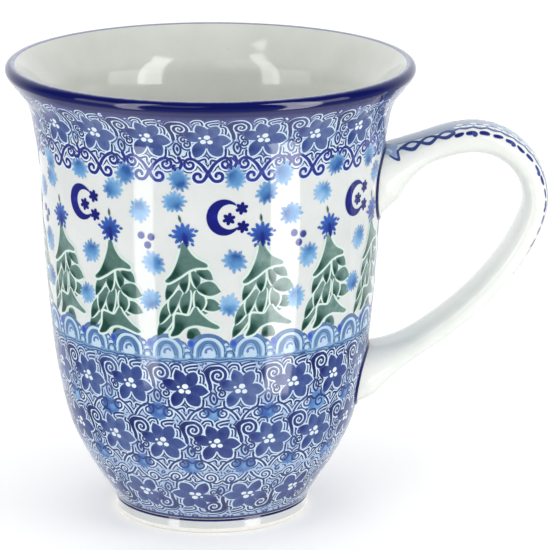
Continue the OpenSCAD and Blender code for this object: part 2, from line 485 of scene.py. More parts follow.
class Strap:
    """The handle's strap, in mm: three curves end to end, flared where they meet the wall.

    Its formula and sizes repeat part.scad's, so a change there is repeated here. Only its
    reach and its crest come from the frame.
    """
    CREST_T, STRAP_T, STRAP_W = 8, 7, 18
    FLARE_T, FLARE_W, FLARE_REACH = 8.4, 5, 14
    TURN_R, ROOT_RUN, SQUARENESS = 17.2, 13, 0.86
    UPPER_Z, LOWER_Z = 94.6, 39.2

    def __init__(self):
        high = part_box("handle")[1]
        reach = high.x / MM - self.STRAP_T / 2
        crest_z = high.z / MM - self.CREST_T / 2
        crest = np.array([reach - self.TURN_R, crest_z])
        far = np.array([reach, crest_z - self.TURN_R])
        upper = np.array([float(outside.radius(self.UPPER_Z)), self.UPPER_Z])
        lower = np.array([float(outside.radius(self.LOWER_Z)), self.LOWER_Z])
        pull, run = 0.55 * self.TURN_R, self.ROOT_RUN
        self.curves = [
            [upper - [run, 14], upper + [0.5, 7.4], crest - [6, 0], crest],
            [crest, crest + [pull, 0], far + [0, pull], far],
            [far, far - [0, 8.8], lower + [33, 11.7], lower - [run, 4.5]],
        ]

    def centre(self, t):
        """Centre and direction at t, from 0 at the upper root to 3 at the lower one."""
        k = np.clip(np.floor(t).astype(int), 0, 2)
        u = (t - k)[:, None]
        c = np.array(self.curves)[k]
        spot = ((1 - u)**3 * c[:, 0] + 3 * (1 - u)**2 * u * c[:, 1]
                + 3 * (1 - u) * u**2 * c[:, 2] + u**3 * c[:, 3])
        way = ((1 - u)**2 * (c[:, 1] - c[:, 0]) + 2 * (1 - u) * u * (c[:, 2] - c[:, 1])
               + u**2 * (c[:, 3] - c[:, 2]))
        return spot, way / np.linalg.norm(way, axis=1)[:, None]

    def sizes(self, t, spot):
        """Half thickness and half width at t."""
        gap = np.maximum(0, spot[:, 0] - outside.radius(spot[:, 1]))
        flare = np.maximum(0, 1 - gap / self.FLARE_REACH)**2
        plain = self.CREST_T + (self.STRAP_T - self.CREST_T) * np.clip(t - 1, 0, 1)
        return (plain + self.FLARE_T * flare) / 2, (self.STRAP_W + self.FLARE_W * flare) / 2

    def surface(self, t, a):
        """Points at t and angle a round the strap; a is 0 on the outer side."""
        spot, way = self.centre(t)
        half_t, half_w = self.sizes(t, spot)
        u, v = (np.sign(w) * abs(w)**self.SQUARENESS for w in (np.cos(a), np.sin(a)))
        u, v = half_t * u, half_w * v
        return np.stack([spot[:, 0] - way[:, 1] * u, v, spot[:, 1] + way[:, 0] * u], axis=1)

    def meeting(self, a, end, stand_off):
        """t where the line at angle a is stand_off from the wall: end 0 is the upper root, 1 the lower."""
        tries = 600
        t = np.linspace(0, 1, tries) if end == 0 else np.linspace(3, 2.3, tries)
        line = self.surface(t, np.full(tries, a))
        gap = np.hypot(line[:, 0], line[:, 1]) - outside.radius(line[:, 2]) - stand_off
        k = np.argmax(gap > 0)
        return t[k - 1] + (t[k] - t[k - 1]) * (-gap[k - 1]) / (gap[k] - gap[k - 1])


strap = Strap()
STRAP_SIDES = 72
strap_angles = round_angles(STRAP_SIDES)
# How far off the wall the strap's ends stop, inside the slip
ROOT_GAP = 0.1
strap_starts = np.array([strap.meeting(a, 0, ROOT_GAP) for a in strap_angles])
strap_ends = np.array([strap.meeting(a, 1, ROOT_GAP) for a in strap_angles])


def wall_flat(points):
    """Angle round the cup and height of points on its wall."""
    return np.arctan2(points[:, 0], -points[:, 1]), points[:, 2]


def facing_in(points, faces):
    """The quads, turned over if need be to face the cup's axis."""
    a, b, d = (points[faces[:, k]] for k in (0, 1, 3))
    outward = (np.cross(b - a, d - a) * a * [1, 1, 0]).sum()
    return faces[:, ::-1] if outward > 0 else faces


def root_patch(outline, stand_off):
    """Closes a root's outline with rings that shrink to its middle, stand_off mm off the wall."""
    rings, innermost = 12, 0.002
    angle, height = wall_flat(outline)
    share = np.linspace(1, innermost, rings)[:, None]
    angles = (angle.mean() + (angle - angle.mean()) * share).ravel()
    heights = (height.mean() + (height - height.mean()) * share).ravel()
    points = on_wall(angles, heights, 0 * angles, 0 * angles, stand_off)[0]
    return points, facing_in(points, grid_faces(len(share), STRAP_SIDES))


def make_handle():
    """The strap swept between its roots, with a cap on each end."""
    rows = 170
    points, faces = [], [grid_faces(rows, STRAP_SIDES)[:, ::-1]]
    for s in np.linspace(0, 1, rows):
        t = strap_starts + (strap_ends - strap_starts) * s
        points.append(strap.surface(t, strap_angles))
    count = rows * STRAP_SIDES
    for outline in (points[0], points[-1]):
        patch, quads = root_patch(outline, ROOT_GAP)
        points.append(patch)
        faces.append(quads + count)
        count += len(patch)
    # The handle's glaze is the cup's white glaze made lighter: painted light on the handle.
    piece = build_mesh("handle_strap", np.concatenate(points), np.concatenate(faces),
                       [white_glaze("handle_glaze", "#eceeea", "#e2e5e0")])
    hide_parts("handle")


def make_slip_bead(name, end, node, material):
    """The pad of slip under a root; its rounded edge is painted with a cobalt line."""
    width, rows, tall, thin = 1.15, 9, 0.6, 0.05
    # The share of its width tucked under the strap, and the share of its height it has there
    tuck, inner_height = 0.15, 0.35
    root_t = (strap_starts, strap_ends)[end]
    angle, height = wall_flat(strap.surface(root_t, strap_angles))
    middle = height.mean()
    radius = float(outside.radius(middle))
    flat = np.stack([(angle - math.pi / 2) * radius, height - middle], axis=1)
    ahead = np.roll(flat, -1, axis=0) - np.roll(flat, 1, axis=0)
    out = np.stack([ahead[:, 1], -ahead[:, 0]], axis=1) / np.linalg.norm(ahead, axis=1)[:, None]
    if (out * (flat - flat.mean(0))).sum() < 0:
        out = -out
    points = []
    for s in np.linspace(0, 1, rows):
        ring = flat + out * (width * ((1 + tuck) * s - tuck))
        rise = thin + tall * (1 - s**1.6) * min(1, inner_height + 2.5 * s)
        points.append(on_wall(math.pi / 2, middle, ring[:, 0], ring[:, 1], rise)[0])
    under, under_faces = root_patch(points[-1], thin)
    top, top_faces = root_patch(points[0], thin + inner_height * tall)
    bead = np.concatenate(points)
    faces = facing_in(bead, grid_faces(rows, STRAP_SIDES))[:, ::-1]
    faces = np.concatenate([faces, under_faces + len(bead),
                            top_faces[:, ::-1] + len(bead) + len(under)])
    points = np.concatenate([bead, under, top])
    edge = np.repeat(np.sin(np.linspace(0.1, math.pi - 0.1, rows)), STRAP_SIDES)
    piece = build_mesh(name, points, faces, [material],
                       values={"tone": np.full(len(points), 0.75), "pool": np.zeros(len(points)),
                               "edge": np.concatenate([edge, np.ones(len(under) + len(top))])})
    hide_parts(node)


# --- flat shapes, in mm ---

def through(points, closed=False, step=0.35):
    """Points about every step mm along the smooth curve through a few points."""
    p = np.array(points, float)
    if closed:
        ring = np.vstack([p[-1:], p, p[:2]])
    else:
        ring = np.vstack([2 * p[:1] - p[1:2], p, 2 * p[-1:] - p[-2:-1]])
    curve = []
    for a, b, c, d in zip(ring, ring[1:], ring[2:], ring[3:]):
        count = max(2, round(np.linalg.norm(c - b) / step))
        t = np.linspace(0, 1, count, endpoint=False)[:, None]
        curve.append(0.5 * (2 * b + (c - a) * t + (2 * a - 5 * b + 4 * c - d) * t**2
                            + (3 * b - a - 3 * c + d) * t**3))
    return np.concatenate(curve if closed else curve + [p[-1:]])


def within(outline, spots):
    """Which spots lie inside a closed outline."""
    x, y = spots.T[:, :, None]
    ax, ay = outline.T
    bx, by = np.roll(outline, -1, axis=0).T
    crosses = (ay > y) != (by > y)
    side = ax + (y - ay) * (bx - ax) / np.where(by == ay, 1, by - ay)
    return (crosses & (x < side)).sum(1) % 2 == 1


def fill(outline, grain=0.8):
    """A filled outline: points, each one's distance to the outline, and triangles."""
    # In mm: how far in extra points lie, their least gap to the outline, and between them, squared
    inset, clear, nearest_squared = 0.35, 0.3, 0.06
    row_pitch = grain * 0.87
    low, high = outline.min(0), outline.max(0)
    x, y = np.meshgrid(np.arange(low[0], high[0], grain), np.arange(low[1], high[1], row_pitch))
    x[1::2] += grain / 2
    ahead = np.roll(outline, -1, axis=0) - np.roll(outline, 1, axis=0)
    ahead /= np.maximum(1e-6, np.linalg.norm(ahead, axis=1))[:, None]
    offset = np.stack([-ahead[:, 1], ahead[:, 0]], axis=1) * inset
    spots = np.vstack([outline + offset, outline - offset, np.stack([x.ravel(), y.ravel()], axis=1)])
    gaps = np.linalg.norm(spots[:, None] - outline[None], axis=2).min(1)
    spots = spots[within(outline, spots) & (gaps > clear)]
    chosen = []
    for spot in spots:
        if all((spot[0] - c[0])**2 + (spot[1] - c[1])**2 > nearest_squared for c in chosen):
            chosen.append(spot)
    count = len(outline)
    places = [Vector(p) for p in list(outline) + chosen]
    found = delaunay_2d_cdt(places, [], [list(range(count))], 1, 1e-5)
    points = np.array([(p.x, p.y) for p in found[0]])
    faces = np.array([f for f in found[2] if len(f) == 3])
    a, b, c = points[faces[:, 0]], points[faces[:, 1]], points[faces[:, 2]]
    turn = (b[:, 0] - a[:, 0]) * (c[:, 1] - a[:, 1]) - (b[:, 1] - a[:, 1]) * (c[:, 0] - a[:, 0])
    faces[turn < 0] = faces[turn < 0][:, ::-1]
    edge = np.linalg.norm(points[:, None] - outline[None], axis=2).min(1)
    return points, edge, faces


def stroke(points, width, start=1.0, stop=1.0, step=0.35, closed=False):
    """A line drawn through a few points, with round ends; start and stop scale its width there."""
    line = through(points, closed, step)
    way = np.gradient(line, axis=0)
    way /= np.maximum(1e-6, np.linalg.norm(way, axis=1))[:, None]
    run = np.concatenate([[0], np.cumsum(np.linalg.norm(np.diff(line, axis=0), axis=1))])
    half = width / 2 * np.interp(run / run[-1], [0, 0.25, 0.75, 1], [start, 1, 1, stop])
    if not closed:
        from_end = np.minimum(run, run[-1] - run)
        half = half * np.sqrt(1 - np.clip(1 - from_end / (width / 2), 0, 0.97)**2)
    across = np.stack([-way[:, 1], way[:, 0]], axis=1) * half[:, None]
    if closed:
        across[-1] = across[0]
        line[-1] = line[0]
    count = len(line)
    points = np.concatenate([line - across, line, line + across])
    quads = np.concatenate([grid_faces(2, count, False) + count * k for k in (0, 1)])
    return points, np.concatenate([0 * half, half, 0 * half]), split(quads)


def leaf(start, stop, width, bend=0.0, blunt=(0.6, 0.9), full=1.0):
    """The outline of a leaf or petal; blunt gives its ends' roundness, and full moves its widest place."""
    start, stop = np.array(start, float), np.array(stop, float)
    way = stop - start
    side = np.array([-way[1], way[0]]) / np.linalg.norm(way)
    count = max(7, round(np.linalg.norm(way) / 0.45))
    u = (1 - np.cos(np.linspace(0, math.pi, count))) / 2
    power = blunt[0] + (blunt[1] - blunt[0]) * u
    half = width / 2 * np.sin(math.pi * u**full).clip(0)**power
    spine = start + np.outer(u, way) + np.outer(bend * np.sin(math.pi * u), side)
    return np.concatenate([spine - np.outer(half, side), (spine + np.outer(half, side))[-2:0:-1]])


def disc(centre, radius, squash=1.0, count=14):
    """The outline of a dot; squash scales its height."""
    a = round_angles(count)
    return np.array(centre) + np.stack([radius * np.cos(a), radius * squash * np.sin(a)], axis=1)


def starry(centre, radius, tips, depth, turn=0.0, sharp=1.0):
    """The outline of a star; between its tips it is cut back by a share of the radius, depth."""
    a = round_angles(tips * 6)
    out = abs(np.cos(tips * a / 2))**sharp
    radii = radius * (1 - depth + depth * out)
    return np.array(centre) + np.stack([radii * np.sin(a + turn), radii * np.cos(a + turn)], axis=1)


def curl(centre, radius, start, turns, inner=0.25):
    """Points of a snail curl, wound inwards; start in degrees, turns is negative for clockwise."""
    points_a_turn = 9
    u = np.linspace(0, 1, max(5, round(abs(turns) * points_a_turn)))
    a = np.radians(start) + u * turns * math.tau
    r = radius * (1 - (1 - inner) * u)
    return [(centre[0] + k * math.cos(t), centre[1] + k * math.sin(t)) for k, t in zip(r, a)]


def mirrored(points):
    """The points with left and right exchanged."""
    return [(-x, y) for x, y in points]


class Motif:
    """Flat shapes in mm, each in the paint of one piece, at its layer."""

    def __init__(self):
        self.parts = []

    def add(self, piece, layer, shape, pool=None):
        """pool is (place, reach, amount): where the paint lies thicker or, below 0, thinner."""
        points, edge, faces = shape
        extra = np.zeros(len(points))
        if pool:
            extra = pool[2] * np.exp(-((points - np.array(pool[0]))**2).sum(1) / pool[1]**2)
        self.parts.append((piece, layer, points, edge, faces, extra))
        return self


    def line(self, piece, layer, points, width, start=1.0, stop=1.0, pool=None):
        """Adds a stroke."""
        return self.add(piece, layer, stroke(points, width, start, stop), pool)

    def dot(self, piece, layer, centre, radius, squash=1.0, pool=None):
        """Adds a filled dot."""
        return self.add(piece, layer, fill(disc(centre, radius, squash), 0.6), pool)


class Painting:
    """Collects motifs laid on a surface, and makes one thin skin of each paint."""

    def __init__(self):
        self.skins = {}

    def keep(self, piece, points, normals, faces, values):
        """Adds faces to a piece's skin, with the values its paint reads."""
        skin = self.skins.setdefault(piece, {"points": [], "normals": [], "faces": [], "count": 0,
                                             "tone": [], "pool": [], "edge": []})
        skin["points"].append(points)
        skin["normals"].append(normals)
        skin["faces"].append(faces + skin["count"])
        skin["count"] += len(points)
        for key, numbers in values.items():
            skin[key].append(numbers)

    def keep_band(self, piece, points, normals, tones):
        """Keeps a band right round the cup, from rows of points; tones run from first row to last."""
        share = np.linspace(0, 1, len(points))
        tone = np.repeat(np.interp(share, np.linspace(0, 1, len(tones)), tones), BAND_SIDES)
        faces = split(grid_faces(len(points), BAND_SIDES))
        self.keep(piece, np.concatenate(points), np.concatenate(normals), faces,
                  {"tone": tone, "pool": 0 * tone, "edge": 0 * tone + 1})

    def press(self, motif, place, turn, size, tone):
        """Lays a motif where place(x, y, layer) puts each of its points."""
        c, s = math.cos(math.radians(turn)) * size, math.sin(math.radians(turn)) * size
        for piece, layer, flat_points, edge, faces, pool in motif.parts:
            x, y = flat_points.T
            points, normals = place(c * x - s * y, s * x + c * y, layer)
            self.keep(piece, points, normals, faces,
                      {"tone": np.full(len(x), tone), "pool": pool, "edge": edge * size})

    def lay(self, motif, degrees, height, turn=0.0, size=1.0, tone=0.5):
        """Lays a motif on the cup's wall, degrees round from the front and height mm up."""
        def place(x, y, layer):
            return on_wall(math.radians(degrees), height, x, y, layer)

        self.press(motif, place, turn, size, tone)

    def lay_on_strap(self, motif, along, across=0.0, turn=0.0, size=1.0, tone=0.5):
        """Lays a motif on the handle, its x axis along the strap, in mm from the upper root."""
        def place(x, y, layer):
            return on_strap(along + x, across + y, layer)

        self.press(motif, place, turn, size, tone)

    def make(self, skin_name, piece, material, slot):
        """Makes one skin, without the faces that run on inside the cup's wall."""
        depth_kept = 0.3
        skin = self.skins[skin_name]
        points, faces = np.concatenate(skin["points"]), np.concatenate(skin["faces"])
        wall = outside.radius(np.minimum(points[:, 2], outside.z[-1]))
        shown = np.hypot(points[:, 0], points[:, 1]) > wall - depth_kept
        shown |= points[:, 2] > outside.z[-1]
        faces = faces[shown[faces].any(axis=1)]
        used, faces = np.unique(faces, return_inverse=True)
        values = {key: np.concatenate(skin[key])[used] for key in ("tone", "pool", "edge")}
        made = build_mesh(piece, points[used], faces.reshape(-1, 3), [material],
                          normals=np.concatenate(skin["normals"])[used], values=values)
        made.visible_shadow = False


def around(radius, angle, z):
    """Points about the axis; the angle is 0 at the front and grows towards +X."""
    return np.stack([radius * np.sin(angle), -radius * np.cos(angle), z + 0 * angle], axis=1)


def on_wall(angle, height, x, y, stand_off):
    """Points and normals on the cup, x mm round and y mm up the wall from an angle and a height."""
    z = outside.height(height, y)
    r, lean = outside.radius(z), outside.lean(z)
    tilt = np.hypot(1, lean)
    out, up = 1 / tilt, -lean / tilt
    a = angle + x / r
    r = r + stand_off * out
    return around(r, a, z + stand_off * up), around(out, a, up)


strap_steps = np.linspace(strap_starts.mean(), 3, 900)
strap_run = np.linalg.norm(np.diff(strap.centre(strap_steps)[0], axis=0), axis=1)
strap_run = np.concatenate([[0], np.cumsum(strap_run)])


def on_strap(along, across, stand_off):
    """Points and normals on the handle's outer face, mm along from the upper root and mm across."""
    widest_share, step = 0.985, 0.05

    def spots(along, across):
        t = np.interp(along, strap_run, strap_steps)
        half_w = strap.sizes(t, strap.centre(t)[0])[1]
        share = np.clip(np.abs(across) / half_w, 0, widest_share)
        return strap.surface(t, np.sign(across) * np.arcsin(share**(1 / strap.SQUARENESS)))

    points = spots(along, across)
    ahead = spots(along + step, across) - spots(along - step, across)
    aside = spots(along, across + step) - spots(along, across - step)
    normals = np.cross(ahead, aside)
    normals /= np.maximum(1e-9, np.linalg.norm(normals, axis=1))[:, None]
    return points + normals * stand_off, normals


# --- motifs ---

def haloed(made, points, width, start, stop, halo=0.8):
    """A navy line with white left each side of it, and a fine navy line outside the white."""
    echo = 0.95
    ends = min(1, start), min(1, stop)
    made.line("echo_lines", ECHO, points, width + halo + echo, *ends)
    made.line("white_halos", HALOS, points, width + halo, *ends)
    pooled = (points[0], 3.0, 0.8 * width - 0.35)
    made.line("filigree", LINES, points, width, start, stop, pooled)


def flower():
    """Six brushed petals round three white dots and a small fourth, with white left round them."""
    made = Motif()
    petals = [
        # start, stop, width, bend, blunt ends, the place where the paint pooled, how much
        ((-0.5, 0.6), (-2.3, 5.9), 3.4, -0.2, (0.45, 0.9), (-2.6, 4.0), 0.3),
        ((0.9, 0.7), (2.9, 5.2), 3.6, 0.1, (0.45, 0.6), (0.9, 2.8), 0.22),
        ((-0.9, 0.4), (-6.3, 2.5), 3.3, 0.2, (0.45, 0.9), (-5.0, 2.2), 0.6),
        ((1.0, 0.0), (6.4, -0.6), 3.4, 0.15, (0.45, 0.9), (2.4, 0.9), 0.1),
        ((-0.8, -0.4), (-3.3, -5.0), 3.4, -0.2, (0.45, 0.65), (-3.4, -2.8), 0.45),
        ((0.6, -0.8), (3.7, -4.7), 3.9, 0.1, (0.45, 0.6), (1.3, -2.4), 0.1),
    ]
    for start, stop, width, bend, blunt, place, amount in petals:
        made.add("petals", PETALS, fill(leaf(start, stop, width, bend, blunt)), (place, 1.5, amount))
        for piece, layer, grow, longer in (("white_halos", HALOS, 0.85, 1.06),
                                           ("echo_lines", ECHO, 1.85, 1.14)):
            grown = leaf(start, np.array(stop) * longer, width + grow, bend, blunt)
            made.add(piece, layer, fill(grown))
    made.add("petals", PETALS - OVER_HALOS, fill(disc((0, 0), 2.5)), ((0, 0), 1.5, -0.1))
    dots = [(0.1, 0.95, 0.86), (-0.95, -0.45, 0.78), (0.85, -0.6, 0.74), (-1.75, 0.75, 0.42)]
    for x, y, radius in dots:
        made.dot("white_dots", DOTS, (x, y), radius, 0.85)
    return made


def add_snails(made, paint_name="filigree", width=0.6):
    """The forked stem under a flower, which ends in an outward pair of snail curls."""
    left = [(-0.3, -9.2), (-1.4, -7.4), (-2.8, -6.1)] + curl((-4.7, -7.0), 1.75, 60, 1.35)
    for line in (left, mirrored(left)):
        made.line("echo_lines", ECHO, line, width + 1.7, 1, 0.8)
        made.line("white_halos", HALOS, line, width + 0.9)
        made.line(paint_name, LINES, line, width, 1.3, 0.8)
    return made


def add_pendant(made):
    """The pair of curls that hangs under the forked stem, and a tendril on their left."""
    width = 0.95
    left = [(0, -8.7), (-0.4, -10.2), (-1.3, -11.5)] + curl((-2.6, -10.4), 1.55, -70, -0.95)
    tendril = [(-7.8, -4.6), (-6.9, -6.6), (-7.6, -8.3)] + curl((-8.6, -7.6), 1.0, -20, -0.8)
    for line in (left, mirrored(left), tendril):
        made.line("white_halos", HALOS, line, width + 0.9)
        made.line("pendants", LINES + OVER_LINES, line, width, 1.2, 0.9)
    made.add("pendants", LINES + OVER_LINES, fill(disc((0, -9.2), 0.75), 0.5))
    return made


def filigree(pitch):
    """Navy hooks, loops and arches between two flowers, pitch mm apart."""
    made = Motif()
    half = pitch / 2
    pen, fine = 0.88, 0.6
    hook = [(half - 2.0, 4.4), (half - 0.8, 6.0), (half + 1.0, 6.4)]
    hook += curl((half + 1.4, 4.1), 2.3, 70, -1.5, 0.2)
    haloed(made, hook, pen, 2.0, 0.8)
    stem = [(half - 1.5, 5.2), (half - 1.3, 3.4), (half - 0.8, 1.6), (half - 0.7, -0.3)]
    haloed(made, stem, pen + 0.2, 1.7, 0.9)
    loop = through(leaf((half - 0.1, -0.9), (half + 0.2, -4.3), 1.9, 0, (0.6, 0.6)), True)
    made.add("filigree", LINES, stroke(loop[::3], fine, closed=True))
    made.add("filigree", LINES, fill(leaf((half, -1.8), (half + 0.2, -3.4), 0.8), 0.6))
    lines = [
        [(-3.9, 6.2), (-2.8, 7.2), (-1.2, 7.0), (-0.8, 5.4)],
        [(3.9, 7.0), (1.8, 6.8), (0.3, 6.2), (0.3, 5.3), (1.1, 4.7)],
        [(4.1, 6.1), (3.9, 4.9), (4.9, 4.5), (5.2, 3.4), (5.0, 1.6)],
        [(-4.6, -3.0), (-4.4, -4.9), (-2.7, -6.0), (-0.7, -5.5), (-0.4, -6.8)],
        [(4.9, -2.6), (4.6, -4.9), (2.8, -6.2), (1.0, -5.9), (0.7, -7.2)],
        [(half - 3.2, -6.4), (half - 1.7, -5.4), (half - 0.2, -6.6), (half + 1.4, -5.6), (half + 2.9, -6.6)],
    ]
    for points in lines:
        haloed(made, points, fine, 1.2, 1, 0.7)
    for snail in (curl((-5.3, -1.2), 1.15, 100, -1.3), curl((half + 1.9, 0.2), 0.9, 30, 1.1)):
        haloed(made, snail, fine, 1.0, 0.8, 0.6)
    return made


def ground_marks(piece):
    """Curls, then wisps, then dots, each about 2 mm across, to fill the ground between the motifs."""
    curl_count, wisp_count, dot_count = 16, 10, 5
    curls, wisps, dots = [], [], []
    for k in range(curl_count):
        turn, way = rng.uniform(0, 360), rng.choice([-1, 1])
        tail = curl((0, 0), 0.85, turn, way * rng.uniform(0.8, 1.2), 0.2)
        curls.append(Motif().add(piece, CURLS, stroke(tail, 0.6, 1.2, 1.3, 0.28)))
    for k in range(wisp_count):
        a = rng.uniform(0, math.tau)
        along, side = np.array([math.cos(a), math.sin(a)]), np.array([-math.sin(a), math.cos(a)])
        wisp = [-0.85 * along, -0.3 * along + 0.4 * side, 0.35 * along - 0.35 * side, 0.85 * along]
        wisps.append(Motif().add(piece, CURLS, stroke(wisp, 0.85, 0.7, 0.7, 0.3)))
    for k in range(dot_count):
        dots.append(Motif().add(piece, CURLS, fill(disc((0, 0), 0.85, rng.uniform(0.75, 1), 9), 0.6)))
    return curls, wisps, dots


def burst(radius):
    """A stamped burst star: ragged all round, and darker on one side."""
    made = Motif()
    lean = rng.uniform(0, math.tau)
    tips = int(rng.integers(12, 16))
    outline = starry((0, 0), 1.06 * radius, tips, 0.27, lean, 1.7)
    a = np.arctan2(outline[:, 1], outline[:, 0])
    wobble = 0.07 * np.cos(2 * a + lean) + 0.05 * np.cos(5 * a + 2 * lean) + 0.05 * np.cos(7 * a - lean)
    ragged = 0.05 * rng.standard_normal(len(a)).clip(-1.5, 1.5)
    outline *= (1 + wobble + ragged)[:, None]
    side, off_centre = rng.uniform(0, math.tau), 0.62 * radius
    dark = (off_centre * math.cos(side), off_centre * math.sin(side))
    made.add("burst_stars", STARS, fill(outline, 0.7), (dark, off_centre, 0.6))
    return made


def tree_star():
    """The eleven-pointed star on a tree, with loose tips and a dark stroke down its middle."""
    made = Motif()
    star = starry((0, 0), 3.4, 11, 0.36, 0.1, 1.3)
    made.add("tree_stars", STARS, fill(star, 0.7), ((0.1, -1.0), 1.9, 0.6))
    drop = leaf((0.1, 0.9), (0.2, -3.7), 1.5, 0.0, (0.9, 0.6), 0.8)
    made.add("tree_star_strokes", STAR_DABS, fill(drop, 0.6), ((0.1, -2), 1.4, 0.3))
    near, far = 2.9, 4.2
    for degrees in (84, 276, 212, 150):
        way = np.array([math.sin(math.radians(degrees)), math.cos(math.radians(degrees))])
        tip = leaf(near * way, far * way, 0.85)
        made.add("tree_stars", STARS, fill(tip, 0.5), ((0, 0), 5, 0.35))
    made.add("fir_leaves", STARS, fill(leaf((0, 3.2), (-0.15, 5.6), 0.85), 0.5), ((0, 4.6), 1, 0.5))
    return made


def moon():
    """A crescent open to the right, with three small stars."""
    made = Motif()
    outer, inner, squeeze = 5.0, 3.45, 0.93
    a = np.radians(np.linspace(44, 318, 34))
    back = np.radians(np.linspace(302, 58, 28))
    rim = np.stack([squeeze * outer * np.cos(a), outer * np.sin(a)], axis=1)
    hollow = np.stack([1.5 + squeeze * inner * np.cos(back), inner * np.sin(back) + 0.1], axis=1)
    made.add("moons", STARS, fill(np.concatenate([rim, hollow]), 0.7), ((-2.4, 0.2), 1.6, -0.35))
    for x, y in ((1.3, -0.5), (4.8, 2.2), (4.9, -2.9)):
        made.add("moons", STARS, fill(starry((x, y), 1.8, 6, 0.4, 0.2, 1.0), 0.6), ((x, y), 1, 0.2))
    return made


def berries():
    """Three dots in a triangle that points down."""
    made = Motif()
    for x, y in ((-1.4, 1.0), (1.4, 0.5), (0.2, -1.7)):
        pooled = ((x + 0.3, y - 0.3), 0.9, rng.uniform(0.1, 0.6))
        made.dot("berries", STARS, (x, y), 1.05, pool=pooled)
    return made


def fir():
    """A fir drawn as boughs under one another, each inside a pale mint line; the apex is the origin."""
    # Steps in mm from tier to tier of boughs, under a tier, and from a line to its leaf
    tier_step, under_tier, over_line = 0.01, 0.002, 0.006
    made = Motif()
    crown = [(-0.6, 0.8), (0.5, 0.7), (1.3, -1.2), (3.0, -3.3), (5.9, -5.0), (5.9, -6.0), (3.4, -6.1),
             (1.2, -6.8), (-1.4, -8.6), (-4.4, -10.3), (-5.4, -9.8), (-3.7, -7.9), (-2.2, -5.0),
             (-1.1, -1.8)]
    skirt = [(2.4, -16.9), (3.6, -18.6), (6.0, -20.9), (8.6, -22.6), (7.8, -23.3), (5.0, -22.6),
             (2.2, -22.1), (-0.4, -22.9), (-2.4, -24.8), (-4.6, -25.2), (-3.5, -22.6), (-3.1, -19.3),
             (-1.7, -19.1), (0.7, -19.3)]
    body = [(0.6, -5.5), (3.6, -6.6), (5.4, -9.6), (6.6, -12.6), (6.4, -15.4), (7.4, -17.4),
            (4.4, -19.4), (2, -21), (-3.0, -22.5), (-6.0, -24.2), (-5.6, -21.4), (-5.0, -18.4),
            (-3.4, -15.2), (-3.3, -11.4), (-1.8, -7.8)]
    made.add("fir_leaves", HALOS, fill(through(body, True, 0.5)), ((0, -16), 4, 0.1))
    stump = [(0.3, -23.3), (2.7, -23.0), (3.7, -25.7), (1.4, -26.1), (-0.2, -25.6)]
    made.add("fir_leaves", CURLS, fill(through(stump, True)), ((0.8, -25), 1.4, 0.8))
    for points, tier, pooled, amount in ((crown, 5, (-3.6, -7.6), 0.65), (skirt, 4, (-3.2, -23.4), 0.8)):
        layer = CURLS + tier_step * tier
        made.line("fir_lines", layer, points + points[:1], 1.15)
        made.add("fir_leaves", layer + over_line, fill(through(points, True, 0.45)), (pooled, 2.6, amount))
    boughs = [
        # tier, start, stop, width, bend, blunt ends, where its paint pooled
        (0, (-3.4, -19.4), (-8.2, -25.5), 2.6, -0.5, (0.6, 0.7), (-6.9, -24.4)),
        (2, (-2.2, -14.6), (-7.5, -22.0), 2.6, -0.6, (0.6, 0.7), (-6.0, -20.6)),
        (2, (3.4, -16.0), (9.4, -17.5), 3.5, 0.3, (0.5, 0.9), (4.3, -17.5)),
        (3, (-0.8, -11.8), (-4.2, -19.4), 2.5, -0.7, (0.6, 0.8), (-3.3, -18.2)),
        (3, (1.0, -12.0), (-0.5, -19.6), 2.7, -0.6, (0.6, 0.8), (0.0, -18.2)),
        (3, (3.0, -12.2), (3.2, -18.7), 2.9, 0.6, (0.6, 0.8), (2.4, -17.2)),
        (4, (3.0, -11.6), (9.4, -12.9), 4.1, 0.4, (0.5, 1.1), (4.0, -13.6)),
        (4, (-0.9, -8.2), (-5.4, -15.2), 2.5, -0.6, (0.6, 0.7), (-4.5, -14.1)),
        (4, (0.5, -6.6), (-0.3, -13.2), 2.6, -0.5, (0.6, 0.8), (-0.2, -11.8)),
        (4, (1.9, -6.6), (3.1, -11.9), 2.3, 0.5, (0.6, 0.8), (2.0, -10.4)),
        (4, (3.0, -7.0), (7.4, -9.5), 2.8, 0.5, (0.5, 0.9), (3.6, -8.8)),
    ]
    for tier, start, stop, width, bend, blunt, pooled in boughs:
        layer = CURLS + tier_step * tier - under_tier
        made.add("fir_lines", layer, fill(leaf(start, stop, width + 1.0, bend, (0.45, 0.6))))
        bough = fill(leaf(start, stop, width, bend, blunt))
        made.add("fir_leaves", layer + over_line, bough, (pooled, 1.6, 0.95))
    return made


